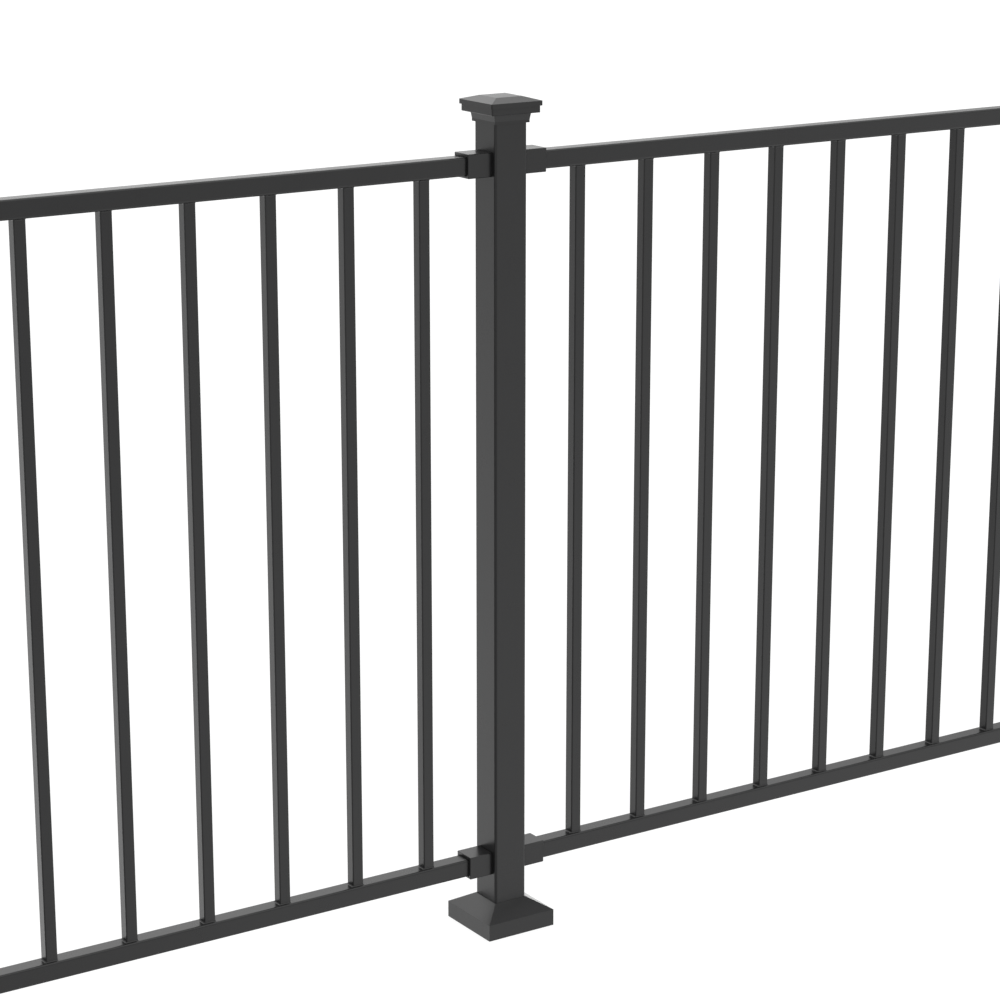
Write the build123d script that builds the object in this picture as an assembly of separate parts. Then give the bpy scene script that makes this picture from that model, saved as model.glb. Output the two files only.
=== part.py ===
"""Steel guard railing: two whole bays of square balusters between three square posts.

Millimetres. X runs along the railing, +Y to the back, +Z up. The origin is the centre of the underside of
the middle post's base plate, on the ground. Every tube is hollow, with its real wall.
"""

import os

from build123d import *

# Layout
GUARD_HEIGHT = 1086.8  # ground to the top of the top rail
GROUND_CLEARANCE = 84.2  # ground to the underside of the bottom rail
BALUSTERS_PER_BAY = 15
BALUSTER_PITCH = 112.9  # centre to centre
BALUSTER_END_GAP = 90.0  # face of a post to the face of the first baluster
FIT_GAP = 0.3  # clearance wherever one piece slides into or over another

# Post tube and the plate welded under it
POST_WIDTH = 50.0
POST_WALL = 2.0
POST_CORNER = 3.2
PLATE_WIDTH = 98.0
PLATE_THICKNESS = 8.0
PLATE_CORNER = 5.0
BOLT_SPACING = 74.0
BOLT_HOLE_RADIUS = 5.5

# Base skirt: an upright band under four sloping sides
SKIRT_WIDTH = 107.2
SKIRT_BAND_HEIGHT = 23.3
SKIRT_HEIGHT = 39.9
SKIRT_WALL = 2.5

# Post cap, from the bottom: lip, flare, fascia, slab, low hipped roof with a flat top
CAP_RISE = 41.1  # top rail up to the lower edge of the cap
CAP_SOCKET_DEPTH = 29.0
CAP_LIP_WIDTH = 54.7
CAP_LIP_HEIGHT = 3.7
CAP_FLARE_WIDTH = 57.6
CAP_FLARE_HEIGHT = 9.3
CAP_FASCIA_WIDTH = 75.4
CAP_FASCIA_HEIGHT = 9.3
CAP_FASCIA_CHAMFER = 0.8
CAP_SLAB_WIDTH = 79.7
CAP_SLAB_HEIGHT = 6.3
CAP_ROOF_HEIGHT = 5.5
CAP_TOP_WIDTH = 40.7
CAP_CORNER = 1.8

# Rail tubes
RAIL_HEIGHT = 25.0
RAIL_DEPTH = 25.0
RAIL_WALL = 1.5
RAIL_CORNER = 3.0

# Baluster tubes, standing in square holes punched through the rails' inner faces
BALUSTER_WIDTH = 16.0
BALUSTER_WALL = 1.2
BALUSTER_CORNER = 1.5

# Brackets: sockets fixed to the posts, with thick cheeks and thinner top and bottom walls
BRACKET_LENGTH = 36.3
BRACKET_HEIGHT = 31.1
BRACKET_DEPTH = 33.8
BRACKET_BACK = 3.0
BRACKET_CHAMFER = 0.7

# Worked out from the sizes above
BAY_OPENING = 2 * BALUSTER_END_GAP + BALUSTER_WIDTH + (BALUSTERS_PER_BAY - 1) * BALUSTER_PITCH
POST_SPACING = POST_WIDTH + BAY_OPENING
POST_X = {"left": -POST_SPACING, "middle": 0.0, "right": POST_SPACING}
POST_HOLE = POST_WIDTH + 2 * FIT_GAP
BAY_X = {"left_bay": -POST_SPACING / 2, "right_bay": POST_SPACING / 2}
CAP_BOTTOM = GUARD_HEIGHT + CAP_RISE
POST_TOP = CAP_BOTTOM + CAP_SOCKET_DEPTH
RAIL_LENGTH = BAY_OPENING - 2 * (BRACKET_BACK + FIT_GAP)
RAIL_Z = {"bottom": GROUND_CLEARANCE + RAIL_HEIGHT / 2, "top": GUARD_HEIGHT - RAIL_HEIGHT / 2}
BALUSTER_PLACES = list(GridLocations(BALUSTER_PITCH, BALUSTER_PITCH, BALUSTERS_PER_BAY, 1))


def tube_section(width, wall, corner):
    """The section of a square tube: rounded outside, with a square bore."""
    bore = width - 2 * wall
    return RectangleRounded(width, width, corner) - Rectangle(bore, bore)


def square_turning(outline):
    """A solid that is a square at every level, with mitred corners.

    The outline is a list of widths and heights from the bottom up. Mirrored, it is one upright face, which is
    extruded along X and along Y; where the two bars cross is the solid.
    """
    right = [(width / 2, height) for width, height in outline]
    left = [(-x, height) for x, height in reversed(right)]
    widest = max(width for width, height in outline)
    bar = extrude(Plane.XZ * make_face(Polyline(*right, *left, close=True)), widest, both=True)
    return bar & Rot(0, 0, 90) * bar


def post():
    """The tube stands on its plate and ends inside the cap."""
    section = tube_section(POST_WIDTH, POST_WALL, POST_CORNER)
    return Pos(0, 0, PLATE_THICKNESS) * extrude(section, POST_TOP - PLATE_THICKNESS)


def base_plate():
    """A flat plate with clipped corners and a bolt hole near each of them."""
    outline = chamfer(Rectangle(PLATE_WIDTH, PLATE_WIDTH).vertices(), PLATE_CORNER)
    holes = [place * Circle(BOLT_HOLE_RADIUS) for place in GridLocations(BOLT_SPACING, BOLT_SPACING, 2, 2)]
    return extrude(outline - holes, PLATE_THICKNESS)


def base_skirt():
    """A shell, open below, that drops down the post to hide the plate and its bolts."""
    block = square_turning(
        [(SKIRT_WIDTH, 0), (SKIRT_WIDTH, SKIRT_BAND_HEIGHT), (POST_HOLE, SKIRT_HEIGHT)]
    )
    shell = offset(block, -SKIRT_WALL, openings=block.faces().sort_by(Axis.Z)[0])
    return shell - extrude(RectangleRounded(POST_HOLE, POST_HOLE, POST_CORNER), SKIRT_HEIGHT)


def post_cap():
    """A cast cap: its socket slides down over the post until the post's end meets the roof."""
    flare_bottom = CAP_BOTTOM + CAP_LIP_HEIGHT
    fascia_bottom = flare_bottom + CAP_FLARE_HEIGHT
    slab_bottom = fascia_bottom + CAP_FASCIA_HEIGHT
    slab_top = slab_bottom + CAP_SLAB_HEIGHT
    cap = square_turning(
        [
            (CAP_LIP_WIDTH, CAP_BOTTOM),
            (CAP_LIP_WIDTH, flare_bottom),
            (CAP_FLARE_WIDTH, fascia_bottom),
            (CAP_FASCIA_WIDTH - 2 * CAP_FASCIA_CHAMFER, fascia_bottom),
            (CAP_FASCIA_WIDTH, fascia_bottom + CAP_FASCIA_CHAMFER),
            (CAP_FASCIA_WIDTH, slab_bottom),
            (CAP_SLAB_WIDTH, slab_bottom),
            (CAP_SLAB_WIDTH, slab_top),
            (CAP_TOP_WIDTH, slab_top + CAP_ROOF_HEIGHT),
        ]
    )
    upright = cap.edges().filter_by(Axis.Z).filter_by_position(Axis.Z, fascia_bottom, slab_top)
    cap = fillet(upright, CAP_CORNER)
    socket = extrude(RectangleRounded(POST_HOLE, POST_HOLE, POST_CORNER), CAP_SOCKET_DEPTH)
    return cap - Pos(0, 0, CAP_BOTTOM) * socket


def rail(punched_side):
    """A rail tube along X, with a row of square holes in its upper face (1) or its lower face (-1)."""
    outside = RectangleRounded(RAIL_DEPTH, RAIL_HEIGHT, RAIL_CORNER)
    tube = extrude(Plane.YZ * (outside - offset(outside, -RAIL_WALL)), RAIL_LENGTH / 2, both=True)
    hole = BALUSTER_WIDTH + 2 * FIT_GAP
    wall_z = punched_side * (RAIL_HEIGHT - RAIL_WALL) / 2
    punch = Pos(0, 0, wall_z) * Box(hole, hole, 2 * RAIL_WALL)
    return tube - [place * punch for place in BALUSTER_PLACES]


def balusters():
    """A bay's tubes, from just above the bottom rail's floor to just below the top rail's roof."""
    bottom = GROUND_CLEARANCE + RAIL_WALL + FIT_GAP
    top = GUARD_HEIGHT - RAIL_WALL - FIT_GAP
    section = tube_section(BALUSTER_WIDTH, BALUSTER_WALL, BALUSTER_CORNER)
    row = Sketch() + [place * section for place in BALUSTER_PLACES]
    return Pos(0, 0, bottom) * extrude(row, top - bottom)


def bracket():
    """A socket that opens towards +X, with its back on the post's face at X = 0."""
    block = extrude(Plane.YZ * Rectangle(BRACKET_DEPTH, BRACKET_HEIGHT), BRACKET_LENGTH)
    block = chamfer(block.edges() - block.faces().sort_by(Axis.X)[0].edges(), BRACKET_CHAMFER)
    pocket = Rectangle(RAIL_DEPTH + 2 * FIT_GAP, RAIL_HEIGHT + 2 * FIT_GAP)
    return block - Pos(BRACKET_BACK, 0, 0) * extrude(Plane.YZ * pocket, BRACKET_LENGTH)


def assemble():
    """Every piece by name, in place."""
    pieces = {}
    for side, x in POST_X.items():
        place = Pos(x, 0, 0)
        pieces[f"{side}_post"] = place * post()
        pieces[f"{side}_base_plate"] = place * base_plate()
        pieces[f"{side}_base_skirt"] = place * base_skirt()
        pieces[f"{side}_post_cap"] = place * post_cap()
    seats = {
        "left": Pos(-BAY_OPENING / 2, 0, 0),
        "right": Pos(BAY_OPENING / 2, 0, 0) * Rot(0, 0, 180),
    }
    for bay, x in BAY_X.items():
        for level, z in RAIL_Z.items():
            place = Pos(x, 0, z)
            pieces[f"{bay}_{level}_rail"] = place * rail(1 if level == "bottom" else -1)
            for end, seat in seats.items():
                pieces[f"{bay}_{level}_{end}_bracket"] = place * seat * bracket()
        pieces[f"{bay}_balusters"] = Pos(x, 0, 0) * balusters()
    return pieces


os.makedirs("parts", exist_ok=True)
for name, piece in assemble().items():
    export_step(piece, f"parts/{name}.step")
    print(name, len(piece.solids()), "solids", round(piece.volume), "mm3")
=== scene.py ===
# %% [markdown]
# # A black guard railing
#
# The railing is three square posts with two bays of balusters between them. All of its metal is already
# there as solids: tubes, plates, caps, skirts and brackets, each at its real size. This lesson dresses them.
# It sets up a camera, mixes the coating that the metal wears, adds the small things that a maker leaves
# behind, such as welds and screws, and ends with light that a black coating can be read in.

# %% Load the railing
import math

import bpy
import numpy as np
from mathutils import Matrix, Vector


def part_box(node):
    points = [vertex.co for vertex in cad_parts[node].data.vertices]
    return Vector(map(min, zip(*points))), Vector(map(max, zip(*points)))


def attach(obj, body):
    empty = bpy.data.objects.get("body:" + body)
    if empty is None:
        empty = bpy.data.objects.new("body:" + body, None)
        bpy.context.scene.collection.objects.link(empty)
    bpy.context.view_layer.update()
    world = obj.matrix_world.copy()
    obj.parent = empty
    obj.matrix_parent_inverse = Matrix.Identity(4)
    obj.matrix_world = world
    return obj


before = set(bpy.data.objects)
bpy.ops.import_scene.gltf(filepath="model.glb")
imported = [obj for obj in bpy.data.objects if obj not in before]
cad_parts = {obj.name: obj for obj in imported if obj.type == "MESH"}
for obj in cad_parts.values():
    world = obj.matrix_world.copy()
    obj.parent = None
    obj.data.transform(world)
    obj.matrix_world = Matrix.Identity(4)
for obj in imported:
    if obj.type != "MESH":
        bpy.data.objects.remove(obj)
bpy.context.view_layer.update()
print("pieces of metal:", len(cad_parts))

# %% [markdown]
# ## The camera
#
# The photograph was taken from the left, at about eye level and looking down a little, with a long lens: the
# balusters shrink only slowly into the distance. A camera can be set by eye, but here its place, its turn and
# its lens were worked out from the edges of the posts and rails, so they are written as plain numbers.

# %% Camera
CAMERA_PLACE = (-2.041, -3.111, 1.6088)
CAMERA_TURN_RIGHT = 33.253  # degrees, from looking straight at the railing
CAMERA_TILT_DOWN = 14.961  # degrees below the horizon
CAMERA_LENS = 102.2  # millimetres
CAMERA_SENSOR = 36.0  # millimetres across


def make_camera():
    """A camera that stands at CAMERA_PLACE, turned to the right and tilted down."""
    camera = bpy.data.objects.new("camera", bpy.data.cameras.new("camera"))
    camera.location = CAMERA_PLACE
    camera.rotation_euler = (math.radians(90 - CAMERA_TILT_DOWN), 0, -math.radians(CAMERA_TURN_RIGHT))
    camera.data.sensor_width = CAMERA_SENSOR
    camera.data.lens = CAMERA_LENS
    bpy.context.scene.collection.objects.link(camera)
    bpy.context.scene.camera = camera
    return camera


print("camera at", tuple(make_camera().location))

# %% [markdown]
# ## Sums with sockets
#
# A finish is a small sum: a noise, scaled and shifted, becomes a roughness. Wiring each Math node by hand
# hides that sum, so a class wraps a socket and lets Python's own operators add the nodes.

# %% Wire
class Wire:
    """A socket that takes part in sums: each operator adds one Math node and gives back its result."""

    def __init__(self, tree, socket=None):
        self.tree = tree
        self.socket = socket

    def node(self, kind, settings=None, inputs=None, output=0):
        """Add a node of any kind: first its settings, then the values or wires of its sockets."""
        made = self.tree.nodes.new(kind)
        for name, value in (settings or {}).items():
            setattr(made, name, value)
        for name, value in (inputs or {}).items():
            if isinstance(value, Wire):
                self.tree.links.new(value.socket, made.inputs[name])
            else:
                made.inputs[name].default_value = value
        return Wire(self.tree, made.outputs[output] if made.outputs else None)

    def math(self, operation, first, second):
        return self.node("ShaderNodeMath", {"operation": operation}, {0: first, 1: second})

    def __add__(self, other):
        return self.math("ADD", self, other)

    def __radd__(self, other):
        return self.math("ADD", other, self)

    def __sub__(self, other):
        return self.math("SUBTRACT", self, other)

    def __rsub__(self, other):
        return self.math("SUBTRACT", other, self)

    def __mul__(self, other):
        return self.math("MULTIPLY", self, other)

    def __rmul__(self, other):
        return self.math("MULTIPLY", other, self)

    def __pow__(self, power):
        return self.math("POWER", self.math("MAXIMUM", self, 0.0), power)


def blank_material(name):
    """A new material with an empty tree, and a wire to build on."""
    material = bpy.data.materials.new(name)
    material.use_nodes = True
    material.node_tree.nodes.clear()
    return material, Wire(material.node_tree)


print("sums on wires: + - * **")

# %% [markdown]
# ## The powder coat
#
# Powder coat is dry paint that is baked until it flows. It never flows quite flat: a faint ripple is left,
# like the skin of an orange, with waves a millimetre or two long. The gloss drifts a little from place to
# place, where the coat lies thicker. The colour could be left flat, but then the tubes look like plastic in
# a close view, so the ripple is a bump, the drift is a slow noise on the roughness, and a trace of it reaches
# the colour.
#
# The caps and skirts are castings. Under the same coat their faces are a little wavy, as poured metal is, so
# they get one more noise, with waves about a centimetre long, and a stronger ripple.

# %% Powder coat
COAT_BLACK = (0.0045, 0.0045, 0.0048, 1)
COAT_WORN = (0.0080, 0.0080, 0.0085, 1)
COAT_INDEX = 1.5  # index of refraction
WAVES_PER_METRE = 90.0
DRIFTS_PER_METRE = 14.0
GRAINS_TO_A_RIPPLE = 4
GRAIN_HEIGHT = 0.08  # as a share of the ripple's height
GLOSS_DRIFT = 0.10
GLOSS_GRAIN = 0.06
COLOUR_DRIFT = 0.6
COLOUR_GRAIN = 0.4
NOISE_MIDDLE = 0.5


def coat_noise(wire, place, per_metre, detail, roughness):
    """Noise in the object's own coordinates, with a given number of waves to the metre."""
    inputs = {"Vector": place, "Scale": per_metre, "Detail": detail, "Roughness": roughness}
    return wire.node("ShaderNodeTexNoise", inputs=inputs)


def powder_coat(name, wave_height, ripple_per_metre, ripple_height, roughness):
    """Black powder coat: waves, ripple and grain as bump, and a slow drift of gloss and colour."""
    material, wire = blank_material(name)
    place = wire.node("ShaderNodeTexCoord", output="Object")
    wave = coat_noise(wire, place, WAVES_PER_METRE, detail=1.0, roughness=0.4)
    ripple = coat_noise(wire, place, ripple_per_metre, detail=1.5, roughness=0.4)
    grain = coat_noise(wire, place, GRAINS_TO_A_RIPPLE * ripple_per_metre, detail=2.0, roughness=0.6)
    drift = coat_noise(wire, place, DRIFTS_PER_METRE, detail=3.0, roughness=0.55)
    colour = wire.node(
        "ShaderNodeMix",
        {"data_type": "RGBA"},
        {"Factor": drift * COLOUR_DRIFT + grain * COLOUR_GRAIN, "A": COAT_BLACK, "B": COAT_WORN},
        output="Result",
    )
    gloss = (drift - NOISE_MIDDLE) * GLOSS_DRIFT + (grain - NOISE_MIDDLE) * GLOSS_GRAIN
    height = wave * wave_height + ripple * ripple_height + grain * (GRAIN_HEIGHT * ripple_height)
    skin = wire.node("ShaderNodeBump", inputs={"Strength": 1.0, "Distance": 1.0, "Height": height})
    coat = wire.node(
        "ShaderNodeBsdfPrincipled",
        inputs={
            "Base Color": colour,
            "Roughness": roughness + gloss,
            "Normal": skin,
            "IOR": COAT_INDEX,
        },
    )
    wire.node("ShaderNodeOutputMaterial", inputs={"Surface": coat})
    return material


tube_coat = powder_coat(
    "tube_powder_coat", wave_height=0.0, ripple_per_metre=620, ripple_height=0.000010, roughness=0.29
)
cast_coat = powder_coat(
    "cast_powder_coat", wave_height=0.00005, ripple_per_metre=900, ripple_height=0.000012, roughness=0.33
)
print("coats:", tube_coat.name, cast_coat.name)

# %% Coat the pieces
CASTINGS = ("post_cap", "base_skirt")
for name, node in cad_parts.items():
    node.data.materials.clear()
    node.data.materials.append(cast_coat if name.endswith(CASTINGS) else tube_coat)
print("coated:", len(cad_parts), "pieces")

# %% [markdown]
# ## The welds
#
# Each baluster stands in a square hole and is welded to the rail all round. The weld is a small hollow
# fillet: seen end on, it leaves the rail flat, bends through a quarter of a circle and runs out upright on
# the baluster. It swells and thins a little, because it was laid drop by drop. It could be a bevelled curve,
# but a curve cannot follow a corner with a fillet that leans both ways. Here a section travels round the
# baluster: one parameter runs across the section and one round the square, and whole arrays give every point
# of a row of fifteen welds at once.

# %% Round a baluster
BALUSTERS_PER_BAY = 15
BALUSTER_CORNER = 0.0015
ARC_POINTS = 64  # points on the corners of a square, all four together


def rounded_square(half, corner, count):
    """Points round a square, or a rectangle, with rounded corners, and the way out at each of them.

    The way out turns once round the circle. Its point is the centre of the nearest corner's arc, which lies
    half less corner out along both axes, plus corner times the way out.
    """
    turn = (np.arange(count) + 0.5) / count * 2 * np.pi
    out = np.stack((np.cos(turn), np.sin(turn)))
    return np.sign(out) * (half - corner) + corner * out, out


def even_square(half, corner, count):
    """The same points and ways out, but the same distance apart along the sides as in the corners."""
    line = np.vstack(rounded_square(half, corner, ARC_POINTS))
    line = np.hstack((line, line[:, :1]))
    reach = np.append(0.0, np.cumsum(np.hypot(*np.diff(line[:2]))))
    at = np.arange(count) / count * reach[-1]
    return [np.interp(at, reach, values) for values in line]


baluster_half = np.ptp(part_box("left_bay_balusters"), axis=0)[1] / 2
print("half the width of a baluster:", baluster_half)

# %% A row of welds
WELD_LEG = 0.0020
WELD_ROOT = 0.0002  # how far the weld bites into the metal
WELD_SWELL = 0.04
WELD_DROPS = 22  # drops laid round one baluster
WELD_SHIFT = 2.4  # radians from a drop to the next weld's like drop
WELD_ROUND = 110
WELD_ACROSS = 9


def weld_row(centres, face, up):
    """A row of weld fillets, each round one baluster, as points and quads.

    Across the section the fillet bends through a right angle: it is the leg times one less the sine away
    from the baluster, and the leg times one less the cosine up from the rail. The last point is its root,
    inside the metal. The leg swells as a sine of the place round the square.
    """
    path = even_square(baluster_half, BALUSTER_CORNER, WELD_ROUND)
    x, y, out_x, out_y = (line[None, :, None] for line in path)
    drop = np.arange(WELD_ROUND)[None, :, None] / WELD_ROUND * WELD_DROPS * 2 * np.pi
    first_drop = np.arange(len(centres))[:, None, None] * WELD_SHIFT
    leg = WELD_LEG * (1 + WELD_SWELL * np.sin(drop + first_drop))
    bend = np.linspace(0, np.pi / 2, WELD_ACROSS)
    root = np.full(leg.shape, -WELD_ROOT)
    away = np.concatenate((leg * (1 - np.sin(bend)), root), axis=2)
    rise = np.concatenate((leg * (1 - np.cos(bend)), root), axis=2)
    across = centres[:, None, None] + x + out_x * away
    points = np.stack((across, y + out_y * away, face + up * rise), axis=3)
    index = np.arange(points[..., 0].size).reshape(away.shape)
    ahead = np.roll(index, -1, axis=1)
    quads = np.stack((index, ahead, np.roll(ahead, -1, axis=2), np.roll(index, -1, axis=2)), axis=3)
    quads = quads.reshape(-1, 4)
    return points, quads if up > 0 else quads[:, ::-1]


print("leg of a weld:", WELD_LEG)

# %% Lay the welds
SHARP_ANGLE = math.radians(40)


def make_piece(name, points, faces, material):
    """A new piece of the railing from points and faces, shaded smooth between its sharp edges."""
    mesh = bpy.data.meshes.new(name)
    mesh.from_pydata(points.reshape(-1, 3).tolist(), [], [list(face) for face in faces])
    mesh.shade_smooth()
    mesh.set_sharp_from_angle(angle=SHARP_ANGLE)
    mesh.materials.append(material)
    piece = bpy.data.objects.new(name, mesh)
    bpy.context.scene.collection.objects.link(piece)
    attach(piece, "root")
    return piece


for bay in ("left_bay", "right_bay"):
    low, high = np.array(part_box(f"{bay}_balusters"))
    centres = np.linspace(low[0] + baluster_half, high[0] - baluster_half, BALUSTERS_PER_BAY)
    for level, corner, up in (("bottom", 1, 1), ("top", 0, -1)):
        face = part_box(f"{bay}_{level}_rail")[corner][2]
        points, quads = weld_row(centres, face, up)
        piece = make_piece(f"{bay}_{level}_welds", points, quads, tube_coat)
        print(piece.name, len(quads), "quads")

# %% [markdown]
# ## The bracket covers
#
# A thin cover closes the top of each bracket. It could be a cube with a Bevel modifier. Here it is made as
# the welds are: a short profile, up the side and over a small chamfer, travels round a rectangle, and one
# flat face closes the top.

# %% Bracket covers
COVER_RISE = 0.0011  # above the bracket's top
COVER_DROP = 0.0008  # down the bracket's sides
COVER_PROUD = 0.00005  # beyond the bracket's sides
COVER_CORNER = 0.0009
COVER_CHAMFER = 0.0006
COVER_ROUND = 32


def closed_rings(points):
    """Quads between the rings of each piece, and one face to close its first ring and one its last.

    The points' axes are piece, ring, place round the ring and coordinate. Seen from outside, the places run
    to the right and the rings run up.
    """
    index = np.arange(points[..., 0].size).reshape(points.shape[:3])
    low, high = index[:, :-1], index[:, 1:]
    quads = np.stack((low, np.roll(low, -1, axis=2), np.roll(high, -1, axis=2), high), axis=3)
    return [*quads.reshape(-1, 4), *index[:, 0, ::-1], *index[:, -1]]


def cover_rings(places, half):
    """Rings of points for a cover at each place.

    Each ring is the rounded rectangle at one height, drawn in along the way out by that height's inset.
    """
    inset = np.array([0.0, 0.0, COVER_CHAMFER])[:, None, None]
    height = np.array([-COVER_DROP, COVER_RISE - COVER_CHAMFER, COVER_RISE])[:, None]
    path, out = rounded_square(half[:, None], COVER_CORNER, COVER_ROUND)
    x, y = np.moveaxis(path - inset * out, 1, 0)
    return places[:, None, None, :] + np.stack((x, y, height + 0 * x), axis=2)


bracket_boxes = np.array([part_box(name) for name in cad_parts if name.endswith("bracket")])
bracket_half = np.ptp(bracket_boxes[0], axis=0)[:2] / 2 + COVER_PROUD
cover_places = bracket_boxes.mean(axis=1)
cover_places[:, 2] = bracket_boxes[:, 1, 2]
covers = cover_rings(cover_places, bracket_half)
piece = make_piece("bracket_covers", covers, closed_rings(covers), tube_coat)
print(piece.name, len(cover_places), "covers")

# %% [markdown]
# ## The bracket screws
#
# A screw under each bracket grips the rail in its socket. Its low round head has a hexagonal hole for the
# key. It could be a cylinder with a hole cut in it. Here it is one surface, with one parameter round the
# axis and one along the profile, from the bracket down the side, round the shoulder, over the rim and back up
# into the hole. Outside, the radius is a circle's, and in the hole it is that of a hexagon at each angle.

# %% Bracket screws
SCREW_RADIUS = 0.0032
SCREW_HEIGHT = 0.0014
SCREW_SHOULDER = 0.0006
SCREW_ROOT = 0.0002  # how far the head sinks into the bracket
SCREW_ROUND = 48
SHOULDER_RINGS = 4
KEY_HALF_WIDTH = 0.0015
KEY_DEPTH = 0.0011
KEY_BREAK = 0.00015  # the broken edge of the hole


def screw_rings(places):
    """Rings of points for a screw head that hangs from each place.

    The hexagon's radius is its half width over the cosine of the angle from the middle of the nearest side.
    The shoulder is a quarter of a circle.
    """
    angle = np.arange(SCREW_ROUND) / SCREW_ROUND * 2 * np.pi
    hexagon = KEY_HALF_WIDTH / np.cos((angle + np.pi / 6) % (np.pi / 3) - np.pi / 6)
    circle = np.full(SCREW_ROUND, SCREW_RADIUS)
    bend = np.linspace(0, np.pi / 2, SHOULDER_RINGS)[:, None]
    shoulder = circle - SCREW_SHOULDER * (1 - np.cos(bend))
    radius = np.vstack((circle, shoulder, hexagon + KEY_BREAK, hexagon, hexagon))
    key_depth = np.array([SCREW_HEIGHT, SCREW_HEIGHT - KEY_BREAK, SCREW_HEIGHT - KEY_DEPTH])[:, None]
    depth = np.vstack(([[-SCREW_ROOT]], SCREW_HEIGHT - SCREW_SHOULDER * (1 - np.sin(bend)), key_depth))
    head = np.stack((radius * np.cos(angle), -radius * np.sin(angle), -depth + 0 * radius), axis=2)
    return places[:, None, None, :] + head


screw_places = bracket_boxes.mean(axis=1)
screw_places[:, 2] = bracket_boxes[:, 0, 2]
screws = screw_rings(screw_places)
piece = make_piece("bracket_screws", screws, closed_rings(screws), tube_coat)
print(piece.name, len(screw_places), "screws")

# %% [markdown]
# ## The light
#
# Black gloss shows only what is around it. In an even white room every face would take a grey that depends
# only on its slant to the eye. The greys in the photograph nearly do. What is left over fits a room that is
# brighter behind the railing, most of all high up, brighter overhead, and brighter at the front on the right.
# Lamps could do this, but a lamp has an edge that a gloss coat shows. So the world itself carries the glows:
# each is the cosine of the angle from its middle, raised to a power, and a higher power makes a smaller glow.

# %% World
ROOM_LEVEL = 0.50
ROOM_GLOWS = (
    # the way to its middle, brightness, power
    ((0.15, 0.70, 0.70), 2.00, 13.0),  # high behind
    ((0.46, 0.89, -0.02), 0.93, 20.0),  # level, behind on the right
    ((0.60, 0.76, -0.25), 1.70, 40.0),  # low, behind on the right
    ((-0.21, 0.89, -0.40), 1.28, 15.5),  # low, behind on the left
    ((-0.30, -0.30, 0.90), 0.92, 1.5),  # overhead
    ((0.50, -0.50, 0.70), 0.75, 15.0),  # high at the front
    ((0.67, -0.55, -0.49), 0.82, 6.8),  # low at the front
)


def make_world():
    """A room of even light with the glows added."""
    world = bpy.data.worlds.new("pale_room")
    world.use_nodes = True
    world.node_tree.nodes.clear()
    wire = Wire(world.node_tree)
    way = wire.node("ShaderNodeTexCoord", output="Generated")
    room = ROOM_LEVEL
    for middle, brightness, power in ROOM_GLOWS:
        near = wire.node("ShaderNodeVectorMath", {"operation": "DOT_PRODUCT"}, {0: way, 1: middle}, "Value")
        room = room + brightness * near**power
    walls = wire.node("ShaderNodeBackground", inputs={"Color": room, "Strength": 1.0})
    wire.node("ShaderNodeOutputWorld", inputs={"Surface": walls})
    bpy.context.scene.world = world


make_world()
bpy.context.scene.view_settings.view_transform = "Standard"
mean_level = ROOM_LEVEL + sum(glow / (2 * (power + 1)) for middle, glow, power in ROOM_GLOWS)
print("mean level of the room:", round(mean_level, 2))

# %% [markdown]
# ## The floor
#
# The floor is plain and white. It could be lit until it clips, but then the railing would be lit too much as
# well. So it gives most of its white as glow and the rest as reflected light: it is white in the open and
# still takes the railing's shadow. The coat looks through it at the glow of the room, so its gloss has no
# hard horizon.

# %% Floor
FLOOR_HALF = 40.0
FLOOR_MATT = 0.2
FLOOR_GLOW = 0.87


def make_floor():
    """A flat square at ground level, matt white with glow, which gloss looks through."""
    corners = np.array([(-1, -1, 0), (1, -1, 0), (1, 1, 0), (-1, 1, 0)]) * FLOOR_HALF
    mesh = bpy.data.meshes.new("floor")
    mesh.from_pydata(corners.tolist(), [], [(0, 1, 2, 3)])
    floor = bpy.data.objects.new("floor", mesh)
    bpy.context.scene.collection.objects.link(floor)
    material, wire = blank_material("floor_white")
    matt = wire.node("ShaderNodeBsdfDiffuse", inputs={"Color": (FLOOR_MATT, FLOOR_MATT, FLOOR_MATT, 1)})
    glow = wire.node("ShaderNodeEmission", inputs={"Color": (1, 1, 1, 1), "Strength": FLOOR_GLOW})
    white = wire.node("ShaderNodeAddShader", inputs={0: matt, 1: glow})
    clear = wire.node("ShaderNodeBsdfTransparent")
    gloss = wire.node("ShaderNodeLightPath", output="Is Glossy Ray")
    surface = wire.node("ShaderNodeMixShader", inputs={0: gloss, 1: white, 2: clear})
    wire.node("ShaderNodeOutputMaterial", inputs={"Surface": surface})
    mesh.materials.append(material)
    return floor


print("floor:", make_floor().name)
